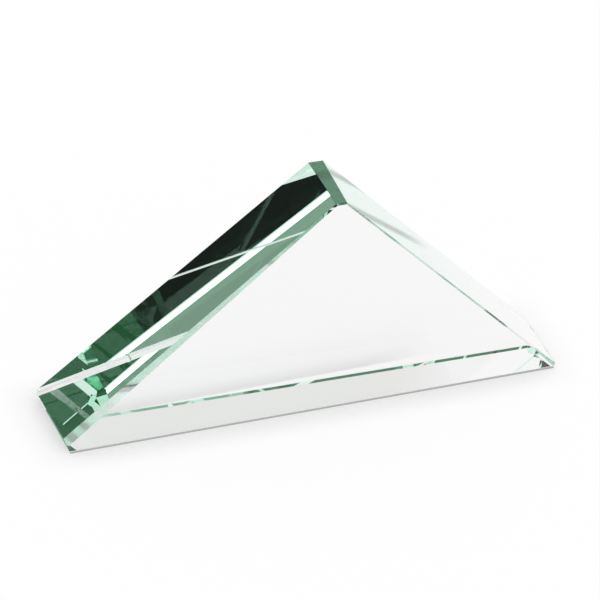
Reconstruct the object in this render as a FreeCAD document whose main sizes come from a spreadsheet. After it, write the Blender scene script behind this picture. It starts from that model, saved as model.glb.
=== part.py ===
"""Right angle prism: one block of glass, cut as half a square and finished by hand on a grinding plate.

Millimetres. X runs along the hypotenuse face, Y through the thickness and Z up.
The prism stands on its hypotenuse face, with the origin in the middle of that face, under the apex.
"""
import FreeCAD, Part
import Sketcher
import os
from FreeCAD import Vector

NODE = "glass_prism"
SHEET = "Sizes"

# Driving dimensions: each size, and what it means on the block.
SIZES = {
    "leg_length": (75.0, "leg face from corner to corner, before the corners are ground"),
    "thickness": (15.2, "from one triangular side to the other, in the middle of the hypotenuse face"),
    "wider_left": (1.5, "how much thicker the block is at the left toe, and thinner at the right one"),
    "thinner_top": (1.1, "how much thinner the block is at the apex"),
    "left_toe_front": (3.9, "ground off the left toe at the front side, along either face"),
    "left_toe_back": (3.4, "the same at the back side"),
    "right_toe_front": (1.0, "ground off the right toe at the front side, along either face"),
    "right_toe_back": (3.2, "the same at the back side"),
    "apex_front": (1.5, "ground off the apex at the front side, along either face"),
    "apex_back": (2.1, "the same at the back side"),
    "front_bevel": (0.3, "bevel round the front side"),
    "back_bevel": (0.9, "bevel round the back side, but for its lower edge"),
    "base_bevel_run": (0.95, "bevel on the lower back edge, along the hypotenuse face"),
    "base_bevel_rise": (0.26, "the same, up the back side"),
    "grind_at_toe": (1.3, "width of the heavier bevel on the front left edge, at the toe"),
    "grind_at_apex": (0.2, "width of that bevel at the apex"),
    "chip_radius": (0.9, "radius of the shell-shaped chip in the lower back edge"),
    "chip_depth": (0.3, "how far the chip goes into the bevel"),
    "chip_place": (25.5, "from the middle of that edge to the chip, towards the left toe"),
}

# The apex stands this high over the hypotenuse face, and the toes lie this far from the middle.
APEX_HEIGHT = f"{SHEET}.leg_length / sqrt(2)"


def make_sheet(doc):
    """One row for each driving dimension: name, value, meaning."""
    sheet = doc.addObject("Spreadsheet::Sheet", SHEET)
    for row, (name, (value, meaning)) in enumerate(SIZES.items(), start=1):
        sheet.set(f"A{row}", name)
        sheet.set(f"B{row}", str(value))
        sheet.set(f"C{row}", meaning)
        sheet.setAlias(f"B{row}", name)
    doc.recompute()


def sketch_on(body, name, role, offset):
    """A sketch parallel to one of the body's own planes, at a distance tied to the sheet."""
    sketch = body.newObject("Sketcher::SketchObject", name)
    plane = next(item for item in body.Origin.OriginFeatures if item.Role == role)
    sketch.AttachmentSupport = (plane, [""])
    sketch.MapMode = "FlatFace"
    sketch.setExpression("AttachmentOffset.Base.z", offset)
    return sketch


def draw_triangle(sketch):
    """Three lines that meet at their ends. Dimensions then put the corners in their places."""
    rough = [Vector(0, 0, 0), Vector(1, 0, 0), Vector(0, 1, 0)]
    lines = []
    for start, end in zip(rough, rough[1:] + rough[:1]):
        lines.append(sketch.addGeometry(Part.LineSegment(start, end), False))
    for line, following in zip(lines, lines[1:] + lines[:1]):
        sketch.addConstraint(Sketcher.Constraint("Coincident", line, 2, following, 1))
    return lines


def bind(sketch, kind, places, expression):
    """Adds a dimension to the sketch and ties it to the sheet."""
    number = sketch.addConstraint(Sketcher.Constraint(kind, *places, 1.0))
    sketch.setExpression(f"Constraints[{number}]", expression)


def half_square(body):
    """The block as it comes off the saw: half a square, with sharp corners."""
    outline = sketch_on(body, "Outline", "XZ_Plane", f"{SHEET}.thickness / 2")
    base, right_leg, left_leg = draw_triangle(outline)
    outline.addConstraint(Sketcher.Constraint("Horizontal", base))
    outline.addConstraint(Sketcher.Constraint("Symmetric", base, 1, base, 2, -1, 1))
    outline.addConstraint(Sketcher.Constraint("Perpendicular", right_leg, left_leg))
    outline.addConstraint(Sketcher.Constraint("Equal", right_leg, left_leg))
    bind(outline, "Distance", (left_leg,), f"{SHEET}.leg_length")
    block = body.newObject("PartDesign::Pad", "HalfSquare")
    block.Profile = outline
    block.Reversed = True
    block.setExpression("Length", f"{SHEET}.thickness + 2 * {SHEET}.wider_left")
    body.Document.recompute()


def back_side(body):
    """Grinds the back side down, a little out of parallel with the front one."""
    middle, gain = f"{SHEET}.thickness / 2", f"{SHEET}.wider_left"
    profile = sketch_on(body, "BackProfile", "XY_Plane", "0 mm")
    corners = [
        (f"-2 * {APEX_HEIGHT}", f"{middle} + 2 * {gain}"),
        (f"2 * {APEX_HEIGHT}", f"{middle} - 2 * {gain}"),
        ("0", f"{middle} + 4 * {APEX_HEIGHT}"),
    ]
    for line, (across, back) in zip(draw_triangle(profile), corners):
        bind(profile, "DistanceX", (-1, 1, line, 1), across)
        bind(profile, "DistanceY", (-1, 1, line, 1), back)
    grind(body, "BackSide", profile, ("0", f"-{SHEET}.thinner_top", APEX_HEIGHT), f"1.2 * {APEX_HEIGHT}")


def notch(sketch, edge, first, second):
    """Triangle that takes a corner off, from a point on one face to a point on the next.

    It reaches well past both faces, so that the cut stays clean where it drifts.
    """
    corners = []
    for wide, minus, plus in ((11, 5, 5), (0, 5, -6), (0, -6, 5)):
        corners.append([f"{wide} * ({e}) - {minus} * ({a}) - {plus} * ({b})"
                        for e, a, b in zip(edge, first, second)])
    corners[1], corners[2] = corners[2], corners[1]
    for line, (across, up) in zip(draw_triangle(sketch), corners):
        bind(sketch, "DistanceX", (-1, 1, line, 1), across)
        bind(sketch, "DistanceY", (-1, 1, line, 1), up)


def grind(body, name, profile, drift, length):
    """Takes the profile away along a line that may slant, so that the flat it leaves can taper."""
    uncut = body.Tip.Shape.Volume
    cut = body.newObject("PartDesign::Pocket", name)
    cut.Profile = profile
    cut.UseCustomVector = True
    cut.AlongSketchNormal = True
    for axis, expression in zip("xyz", drift):
        cut.setExpression(f"Direction.{axis}", expression)
    cut.setExpression("Length", length)
    body.Document.recompute()
    if cut.Shape.Volume >= uncut:
        raise ValueError(f"{name} took nothing away")


def toe_flat(body, side, sign):
    """Flat along one of the two sharp toes. sign is - for the left toe and + for the right one."""
    width = f"{SHEET}.{side}_toe_front"
    toe = (f"{sign}{APEX_HEIGHT}", "0")
    on_floor = (f"{sign}({APEX_HEIGHT} - {width})", "0")
    on_leg = (f"{sign}({APEX_HEIGHT} - {width} / sqrt(2))", f"{width} / sqrt(2)")
    profile = sketch_on(body, f"{side}ToeProfile", "XZ_Plane", f"{SHEET}.thickness / 2")
    notch(profile, toe, on_floor, on_leg)
    inwards = f"{sign}({width} - {SHEET}.{side}_toe_back)"
    grind(body, f"{side}ToeFlat", profile, (inwards, f"{SHEET}.thickness", "0"), f"2 * {SHEET}.thickness")


def apex_flat(body):
    """Flat along the right-angled edge."""
    drop = f"{SHEET}.apex_front / sqrt(2)"
    apex = ("0", APEX_HEIGHT)
    on_right = (drop, f"{APEX_HEIGHT} - {drop}")
    on_left = (f"-{drop}", f"{APEX_HEIGHT} - {drop}")
    profile = sketch_on(body, "ApexProfile", "XZ_Plane", f"{SHEET}.thickness / 2")
    notch(profile, apex, on_right, on_left)
    down = f"({SHEET}.apex_front - {SHEET}.apex_back) / sqrt(2)"
    grind(body, "ApexFlat", profile, ("0", f"{SHEET}.thickness", down), f"2 * {SHEET}.thickness")


def side_face(shape, outwards):
    """The triangular side that looks outwards, near enough."""
    return next(face for face in shape.Faces if face.normalAt(0, 0).getAngle(outwards) < 0.1)


def bevel(body, name, edges, alias):
    """Narrow 45-degree bevel on edges of the block."""
    base = body.Tip
    picked = [f"Edge{number}" for number, edge in enumerate(base.Shape.Edges, start=1)
              if any(edge.isSame(wanted) for wanted in edges)]
    cut = body.newObject("PartDesign::Chamfer", name)
    cut.Base = (base, picked)
    cut.setExpression("Size", f"{SHEET}.{alias}")
    body.Document.recompute()


def side_bevels(body):
    """Hair-thin bevel round the front side, and a broader one on the slanting edges of the back side."""
    front = side_face(body.Tip.Shape, Vector(0, -1, 0))
    bevel(body, "FrontBevel", front.Edges, "front_bevel")
    back = side_face(body.Tip.Shape, Vector(0, 1, 0))
    raised = [edge for edge in back.Edges if edge.BoundBox.ZMax > 0.01]
    bevel(body, "BackBevel", raised, "back_bevel")


def base_bevel(body):
    """Flat bevel along the lower back edge, which follows the slant of the back side."""
    run, rise = f"{SHEET}.base_bevel_run", f"{SHEET}.base_bevel_rise"
    back = f"({SHEET}.thickness / 2 + {SHEET}.wider_left)"
    profile = sketch_on(body, "BaseProfile", "YZ_Plane", f"-{APEX_HEIGHT}")
    notch(profile, (back, "0"), (back, rise), (f"{back} - {run}", "0"))
    slant = f"-2 * {SHEET}.wider_left"
    grind(body, "BaseBevel", profile, (f"2 * {APEX_HEIGHT}", slant, "0"), f"2 * {APEX_HEIGHT}")


def front_left_grind(body):
    """Heavier bevel on the front left edge, wide at the toe and fading out at the apex."""
    width = f"{SHEET}.grind_at_toe"
    front = f"-{SHEET}.thickness / 2"
    edge = (front, "0")
    on_leg = (f"{front} + {width}", "0")
    on_front = (front, f"-{width} * sqrt(2)")
    profile = sketch_on(body, "GrindProfile", "YZ_Plane", f"-{APEX_HEIGHT}")
    notch(profile, edge, on_leg, on_front)
    fade = f"{SHEET}.grind_at_apex - {width}"
    grind(body, "FrontLeftGrind", profile, (APEX_HEIGHT, fade, APEX_HEIGHT), APEX_HEIGHT)


def edge_chip(body):
    """Small shell-shaped chip in the bevel of the lower back edge."""
    bite = body.newObject("PartDesign::SubtractiveSphere", "EdgeChip")
    run, rise = f"{SHEET}.base_bevel_run", f"{SHEET}.base_bevel_rise"
    edge = f"{SHEET}.thickness / 2 + {SHEET}.wider_left * {SHEET}.chip_place / ({APEX_HEIGHT})"
    stand_off = f"({SHEET}.chip_radius - {SHEET}.chip_depth) / sqrt({run} ^ 2 + {rise} ^ 2)"
    bite.setExpression("Radius", f"{SHEET}.chip_radius")
    bite.setExpression("Placement.Base.x", f"-{SHEET}.chip_place")
    bite.setExpression("Placement.Base.y", f"{edge} - {run} / 2 + {rise} * {stand_off}")
    bite.setExpression("Placement.Base.z", f"{rise} / 2 - {run} * {stand_off}")
    body.Document.recompute()


def make_prism(doc):
    body = doc.addObject("PartDesign::Body", NODE)
    body.Label = NODE
    half_square(body)
    back_side(body)
    toe_flat(body, "left", "-")
    toe_flat(body, "right", "+")
    apex_flat(body)
    side_bevels(body)
    base_bevel(body)
    front_left_grind(body)
    edge_chip(body)
    return body


def check(doc):
    """Stops the script if a feature failed or a shape isn't sound."""
    for item in doc.Objects:
        if "Invalid" in item.State or "Error" in item.State:
            raise ValueError(f"{item.Label} did not rebuild")
        shape = getattr(item, "Shape", None)
        if shape is not None and (shape.isNull() or not shape.isValid()):
            raise ValueError(f"{item.Label} has no sound shape")


doc = FreeCAD.newDocument("RightAnglePrism")
make_sheet(doc)
prism = make_prism(doc)
doc.recompute()
check(doc)

os.makedirs("parts", exist_ok=True)
prism.Shape.exportStep(f"parts/{NODE}.step")
print(f"{NODE}: {prism.Shape.Volume:.1f} mm3, {len(prism.Shape.Faces)} faces, {prism.Shape.BoundBox}")
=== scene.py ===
import math

import bpy
from mathutils import Matrix, Vector


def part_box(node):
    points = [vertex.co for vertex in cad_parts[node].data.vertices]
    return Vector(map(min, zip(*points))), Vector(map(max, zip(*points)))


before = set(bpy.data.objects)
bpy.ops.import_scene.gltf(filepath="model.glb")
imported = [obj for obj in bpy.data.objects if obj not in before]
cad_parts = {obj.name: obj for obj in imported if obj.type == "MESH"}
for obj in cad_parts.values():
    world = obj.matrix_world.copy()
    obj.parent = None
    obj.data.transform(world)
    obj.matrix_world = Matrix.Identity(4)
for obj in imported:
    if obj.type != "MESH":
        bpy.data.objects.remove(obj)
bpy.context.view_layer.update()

GLASS = "glass_prism"
low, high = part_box(GLASS)
middle = (low + high) / 2
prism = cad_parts[GLASS]

MM = 0.001
HYPOTENUSE = 75 * MM * math.sqrt(2)
TOUCHING = 0.01 * MM     # anything nearer than this counts as touching
WHITE = (1.0, 1.0, 1.0)


def deselect():
    for thing in bpy.context.selected_objects:
        thing.select_set(False)


class Finish:
    """A new material, with short ways to add its nodes and link them."""

    def __init__(self, name):
        self.material = bpy.data.materials.new(name)
        self.material.use_nodes = True
        self.nodes = self.material.node_tree.nodes
        self.links = self.material.node_tree.links
        self.nodes.clear()
        self.output = self.nodes.new("ShaderNodeOutputMaterial")

    def feed(self, socket, value):
        """Gives a socket a number or a colour, or links another node's output to it."""
        if isinstance(value, tuple):
            socket.default_value = value + (1.0,)
        elif isinstance(value, (int, float)):
            socket.default_value = value
        else:
            self.links.new(value, socket)

    def place(self):
        return self.nodes.new("ShaderNodeTexCoord").outputs["Object"]

    def x_and_y(self, place):
        node = self.nodes.new("ShaderNodeSeparateXYZ")
        self.links.new(place, node.inputs[0])
        return node.outputs["X"], node.outputs["Y"]

    def along(self, place, direction):
        """How far a place lies along a direction."""
        node = self.nodes.new("ShaderNodeVectorMath")
        node.operation = "DOT_PRODUCT"
        self.links.new(place, node.inputs[0])
        node.inputs[1].default_value = direction
        return node.outputs["Value"]

    def maths(self, operation, *values):
        node = self.nodes.new("ShaderNodeMath")
        node.operation = operation
        for socket, value in zip(node.inputs, values):
            self.feed(socket, value)
        return node.outputs[0]

    def times(self, first, second):
        return self.maths("MULTIPLY", first, second)

    def larger(self, first, second):
        return self.maths("MAXIMUM", first, second)

    def gap(self, value, centre):
        """How far a value is from a centre, either way."""
        return self.maths("ABSOLUTE", self.maths("SUBTRACT", value, centre))

    def ramp(self, value, start, end, at_start, at_end):
        """Soft step from one number to another, between two places."""
        node = self.nodes.new("ShaderNodeMapRange")
        node.interpolation_type = "SMOOTHSTEP"
        self.links.new(value, node.inputs["Value"])
        for name, number in (("From Min", start), ("From Max", end),
                             ("To Min", at_start), ("To Max", at_end)):
            node.inputs[name].default_value = number
        return node.outputs["Result"]

    def noise(self, place, scale, detail, roughness):
        node = self.nodes.new("ShaderNodeTexNoise")
        node.inputs["Scale"].default_value = scale
        node.inputs["Detail"].default_value = detail
        node.inputs["Roughness"].default_value = roughness
        self.links.new(place, node.inputs["Vector"])
        return node.outputs["Fac"]

    def blend(self, factor, first, second):
        """First colour where the factor is 0, second colour where it is 1."""
        node = self.nodes.new("ShaderNodeMix")
        node.data_type = "RGBA"
        for name, value in (("Factor", factor), ("A", first), ("B", second)):
            socket = next(s for s in node.inputs if s.name == name and s.enabled)
            self.feed(socket, value)
        return next(s for s in node.outputs if s.enabled)


# ---- ground glass with a green cast ----

LOOKS_ALIKE = 0.98       # cosine between a flat's normal and the direction that it is asked by
FLAT_DEPTH = 0.06 * MM   # how deep under a flat its finish starts
BEVEL_DEPTH = 0.02 * MM  # the same for the hair-thin bevels

# Directions that the ground flats and the front bevels face, near enough.
APEX = (0, 0, 1)
LEFT_TOE, RIGHT_TOE = (-0.92, 0, -0.38), (0.92, 0.1, -0.38)
LEFT_BEVEL, RIGHT_BEVEL = (-0.51, -0.70, 0.50), (0.50, -0.71, 0.50)

BODY_TINT = (1.0, 0.936, 0.965)
# The apex flat's dark green is painted shade, standing in for dark green light paths that the
# surroundings don't give.
APEX_PAINTED_SHADE = (0.01, 0.053, 0.021)
# The front bevels' pale pink is painted light: it makes them look whiter, standing in for light
# paths that the surroundings don't give.
BEVEL_PAINTED_LIGHT = (1.0, 0.80, 0.88)
GREEN_CAST = (0.10, 0.88, 0.52)
CAST_DENSITY = 5.0
CROWN_INDEX = 1.52


def flat_facing(direction):
    """Normal and distance from the origin of the prism's flat that faces a direction."""
    wanted = Vector(direction).normalized()
    facing = [f for f in prism.data.polygons if f.normal.dot(wanted) > LOOKS_ALIKE]
    best = max(facing, key=lambda f: f.area)
    return best.normal.copy(), best.normal.dot(best.center)


def on_flat(finish, place, direction, depth=FLAT_DEPTH):
    """1 on the flat that faces a direction, 0 on every other face."""
    normal, reach = flat_facing(direction)
    return finish.maths("GREATER_THAN", finish.along(place, normal), reach - depth)


def prism_glass():
    finish = Finish("green_crown_glass")
    glass = finish.nodes.new("ShaderNodeBsdfPrincipled")
    place = finish.place()
    apex = on_flat(finish, place, APEX)
    left_toe = on_flat(finish, place, LEFT_TOE)
    right_toe = on_flat(finish, place, RIGHT_TOE)
    bevels = finish.larger(on_flat(finish, place, LEFT_BEVEL, BEVEL_DEPTH),
                           on_flat(finish, place, RIGHT_BEVEL, BEVEL_DEPTH))

    # Grinding marks, coarse on the toe flats, fine on the apex flat, none on the polished sides.
    grit = finish.noise(place, 1500.0, 4.0, 0.6)
    toes = finish.larger(left_toe, finish.times(right_toe, 0.35))
    rough = finish.times(toes, finish.maths("MULTIPLY_ADD", grit, 0.22, 0.05))
    rough = finish.maths("MULTIPLY_ADD", apex, finish.times(grit, 0.06), rough)
    rough = finish.maths("MULTIPLY_ADD", bevels, finish.times(grit, 0.30), rough)
    finish.links.new(rough, glass.inputs["Roughness"])

    # Body tint, with painted shade on the apex flat and painted light on the front bevels.
    tint_painted_shade_and_light = finish.blend(apex, BODY_TINT, APEX_PAINTED_SHADE)
    tint_painted_shade_and_light = finish.blend(bevels, tint_painted_shade_and_light, BEVEL_PAINTED_LIGHT)
    finish.links.new(tint_painted_shade_and_light, glass.inputs["Base Color"])
    glass.inputs["IOR"].default_value = CROWN_INDEX
    glass.inputs["Transmission Weight"].default_value = 1.0
    finish.links.new(glass.outputs["BSDF"], finish.output.inputs["Surface"])

    cast = finish.nodes.new("ShaderNodeVolumeAbsorption")
    finish.feed(cast.inputs["Color"], GREEN_CAST)
    cast.inputs["Density"].default_value = CAST_DENSITY
    finish.links.new(cast.outputs["Volume"], finish.output.inputs["Volume"])
    return finish.material


prism.material_slots[0].material = prism_glass()


# ---- floor ----

FLOOR_SIZE = 6.0
FLOOR_DROP = 0.1 * MM        # keeps the floor clear of the face that rests on it
FLOOR_COLOUR = (0.97, 0.97, 0.97)
WHITE_IN_GLASS = 0.97        # share of plain white in the floor that the glass shows

# A thin painted contact shadow on the floor along the front edge, seen directly.
CONTACT_SHADOW_WIDTH = 0.25 * MM
CONTACT_SHADOW_COLOUR = (0.42, 0.43, 0.42)
LINE_Y = -2.3 * MM           # middle of the soft line of painted shade under the prism
LINE_STRENGTH = 0.7
FRONT_PART = 5 * MM          # the green shade stops here, short of the back side
# Painted green shade on the floor under the prism, seen only in the glass.
UNDER_SHADE_COLOUR = (0.05, 0.14, 0.085)


def distance_from_foot(finish, x, y):
    """How far a place on the floor is from the box that the prism's foot fills."""
    beyond_x = finish.larger(finish.maths("SUBTRACT", finish.maths("ABSOLUTE", x), high.x), 0.0)
    across = finish.gap(y, middle.y)
    beyond_y = finish.larger(finish.maths("SUBTRACT", across, high.y - middle.y), 0.0)
    squares = finish.maths("ADD", finish.maths("POWER", beyond_x, 2.0),
                           finish.maths("POWER", beyond_y, 2.0))
    return finish.maths("SQRT", squares)


def foot_shade(finish, distance, x):
    """The floor round the foot as the glass shows it, darkest close up and on the left."""
    foot = finish.times(finish.ramp(distance, 0.0, 4 * MM, 0.4, 1.0),
                        finish.ramp(distance, 0.0, 15 * MM, 0.76, 1.0))
    return finish.larger(foot, finish.ramp(x, 5 * MM, 35 * MM, 0.0, 1.0))


def under_shade(finish, x, y):
    """Painted green shade under the prism's left half, and in a soft line under its middle."""
    left_half = finish.ramp(x, -15 * MM, -11 * MM, 1.0, 0.0)
    line = finish.ramp(finish.gap(y, LINE_Y), 0.3 * MM, 1.9 * MM, LINE_STRENGTH, 0.0)
    line = finish.times(line, finish.ramp(x, 7 * MM, 20 * MM, 1.0, 0.0))
    in_front = finish.maths("LESS_THAN", y, FRONT_PART)
    return finish.times(finish.larger(left_half, line), in_front)


def front_contact_shadow(finish, x, y):
    """1 on a hairline of painted contact shadow where the front edge meets the floor."""
    corners = [v.co.x for v in prism.data.vertices
               if v.co.z < low.z + TOUCHING and v.co.y < middle.y]
    start, end = min(corners), max(corners)
    near_edge = finish.maths("LESS_THAN", finish.gap(y, low.y), CONTACT_SHADOW_WIDTH)
    within = finish.maths("LESS_THAN", finish.gap(x, (start + end) / 2), (end - start) / 2)
    return finish.times(near_edge, within)


def pale_floor():
    finish = Finish("pale_floor")
    matt = finish.nodes.new("ShaderNodeBsdfDiffuse")
    finish.feed(matt.inputs["Color"], FLOOR_COLOUR)
    glow = finish.nodes.new("ShaderNodeEmission")
    glow.inputs["Strength"].default_value = 1.0
    ray = finish.nodes.new("ShaderNodeLightPath")
    direct = ray.outputs["Is Camera Ray"]
    in_glass = finish.larger(ray.outputs["Is Transmission Ray"], ray.outputs["Is Glossy Ray"])
    x, y = finish.x_and_y(finish.place())
    distance = distance_from_foot(finish, x, y)
    beneath = finish.maths("LESS_THAN", distance, TOUCHING)

    # Seen directly, there is less plain white close to the foot, so that the shadow shows.
    # A thin line of painted contact shadow along the front edge.
    contact_shadow = finish.times(front_contact_shadow(finish, x, y), direct)
    white = finish.times(finish.ramp(distance, 0.0, 7 * MM, 0.42, 0.92), direct)
    white = finish.larger(white, contact_shadow)
    white_in_glass = finish.larger(foot_shade(finish, distance, x), beneath)
    white_in_glass = finish.times(finish.times(white_in_glass, in_glass), WHITE_IN_GLASS)
    share = finish.larger(white, white_in_glass)

    under = finish.times(finish.times(under_shade(finish, x, y), beneath), in_glass)
    shade = finish.blend(under, WHITE, UNDER_SHADE_COLOUR)
    finish.links.new(finish.blend(contact_shadow, shade, CONTACT_SHADOW_COLOUR), glow.inputs["Color"])
    mix = finish.nodes.new("ShaderNodeMixShader")
    finish.links.new(share, mix.inputs["Fac"])
    finish.links.new(matt.outputs["BSDF"], mix.inputs[1])
    finish.links.new(glow.outputs["Emission"], mix.inputs[2])
    finish.links.new(mix.outputs["Shader"], finish.output.inputs["Surface"])
    return finish.material


deselect()
bpy.ops.mesh.primitive_plane_add(size=FLOOR_SIZE, location=(0, 0, low.z - FLOOR_DROP))
floor = bpy.context.object
floor.name = "floor"
bpy.ops.object.transform_apply(location=True, rotation=True, scale=True)
floor.data.materials.append(pale_floor())


# ---- studio cards, seen only in the glass ----

def card(name, turn, tilt, corners, shade, distance=2.0, fade=None):
    """Card square to a direction from the origin, in metres and degrees.

    turn is from +Y towards +X and tilt is up from the floor. The corners are given across the
    card and up it. A card with a fade turns white between two places across it.
    """
    turn, tilt = math.radians(turn), math.radians(tilt)
    towards = Vector((math.sin(turn) * math.cos(tilt),
                      math.cos(turn) * math.cos(tilt), math.sin(tilt)))
    side = Vector((math.cos(turn), -math.sin(turn), 0.0))
    rise = side.cross(towards)

    finish = Finish(name + "_cloth")
    cloth = finish.nodes.new("ShaderNodeEmission")
    strength = max(*shade, 1.0)
    finish.feed(cloth.inputs["Color"], tuple(s / strength for s in shade))
    cloth.inputs["Strength"].default_value = strength
    finish.links.new(cloth.outputs["Emission"], finish.output.inputs["Surface"])
    if fade:
        white = finish.ramp(finish.along(finish.place(), side), *fade, 0.0, 1.0)
        finish.links.new(finish.blend(white, shade, WHITE), cloth.inputs["Color"])

    deselect()
    bpy.ops.mesh.primitive_plane_add(size=1.0)
    flag = bpy.context.object
    flag.name = name
    for corner, (across, upward) in zip(flag.data.vertices, corners):
        corner.co = distance * towards + across * side + upward * rise
    flag.data.materials.append(finish.material)
    flag.visible_camera = False
    flag.visible_diffuse = False
    flag.visible_shadow = False


def sheet(width, height):
    """Corners of a plain sheet about its middle."""
    w, h = width / 2, height / 2
    return (-w, -h), (w, -h), (-w, h), (w, h)


def cut_sheet(across, along, turn):
    """Corners of a sheet between two pairs of edges, turned in its own plane."""
    c, s = math.cos(math.radians(turn)), math.sin(math.radians(turn))
    return tuple((c * p - s * q, s * p + c * q) for q in along for p in across)


DEEP_GREEN = (0.022, 0.092, 0.038)
NEAR_BLACK = (0.013, 0.015, 0.013)
BLACK = (0.02, 0.02, 0.02)
GREY_GREEN, LOW_GREY_GREEN = (0.30, 0.385, 0.318), (0.27, 0.36, 0.29)
PALE = (0.88, 0.89, 0.87)
BRIGHT, BRIGHTER = (1.3, 1.3, 1.3), (2.0, 2.0, 2.0)

# Behind the camera and to its right: the dark zones in the left face.
card("black_card_behind_camera", 164.0, 36.0,
     cut_sheet((-0.11, 0.0571), (0.025, 0.085), 39.8), NEAR_BLACK)
card("green_card_behind_camera", 154.0, 22.0, sheet(1.6, 1.5), DEEP_GREEN, 2.2)
card("green_card_right", 80.0, 17.0,
     ((-0.19, -0.093), (0.20, -0.093), (-0.19, 0.28), (0.20, 0.07)), DEEP_GREEN, 0.3)
card("green_card_far_right", 46.0, 14.0, sheet(0.5, 0.5), DEEP_GREEN, 1.0)
card("bright_panel_right", 107.0, 43.0, sheet(0.5, 0.5), BRIGHT)

# At the back and to the left: the pale zones in the left face and the band along the base.
card("green_card_back", 5.0, 33.0, sheet(0.7, 0.3), DEEP_GREEN)
card("black_card_left", -44.0, 21.0, sheet(1.0, 0.8), BLACK)
card("grey_card_back", 24.0, 41.0,
     ((-0.06, 0.017), (0.09, -0.026), (-0.06, 0.11), (0.09, 0.11)), GREY_GREEN)
card("grey_card_low", 24.0, 41.0,
     ((-0.175, -0.175), (-0.10, -0.175), (-0.175, -0.11), (-0.10, -0.11)), LOW_GREY_GREEN)
card("pale_card_back", 24.0, 41.0,
     ((-0.09, -0.08), (0.115, -0.08), (-0.09, 0.05), (0.185, 0.05)), PALE,
     distance=2.05, fade=(0.09, 0.15))
card("bright_panel", 52.0, 60.0, sheet(0.5, 0.5), BRIGHTER)


# ---- backdrop and light ----

scene = bpy.context.scene
world = bpy.data.worlds.new("soft_studio")
scene.world = world
world.use_nodes = True
sky = world.node_tree.nodes["Background"]
sky.inputs["Color"].default_value = WHITE + (1.0,)
sky.inputs["Strength"].default_value = 1.0

INNER_REFLECTIONS = 32   # light goes round many times between the flats
scene.view_settings.view_transform = "Standard"
scene.cycles.max_bounces = INNER_REFLECTIONS
scene.cycles.glossy_bounces = INNER_REFLECTIONS
scene.cycles.transmission_bounces = INNER_REFLECTIONS


# ---- camera ----

CAMERA_TURN, CAMERA_TILT, CAMERA_ROLL = 27.83, 40.20, 9.11
CAMERA_AIM = (-0.0001, 0.02835, 0.1806)   # in hypotenuse lengths
CAMERA_DISTANCE = 12.0                    # the same
SENSOR, LENS = 36.0, 398.6


def camera():
    turn, tilt, roll = (math.radians(a) for a in (CAMERA_TURN, CAMERA_TILT, CAMERA_ROLL))
    away = Vector((-math.sin(turn) * math.cos(tilt),
                   -math.cos(turn) * math.cos(tilt), math.sin(tilt)))
    right = Vector((math.cos(turn), -math.sin(turn), 0.0))
    up = away.cross(right)
    across = math.cos(roll) * right + math.sin(roll) * up
    upward = -math.sin(roll) * right + math.cos(roll) * up
    lens = bpy.data.cameras.new("camera")
    lens.sensor_width = SENSOR
    lens.lens = LENS
    lens.clip_end = 100.0
    eye = bpy.data.objects.new("camera", lens)
    scene.collection.objects.link(eye)
    aim = Vector([HYPOTENUSE * share for share in CAMERA_AIM])
    turned = Matrix((across, upward, away)).transposed().to_4x4()
    eye.matrix_world = Matrix.Translation(aim + CAMERA_DISTANCE * HYPOTENUSE * away) @ turned
    scene.camera = eye


camera()
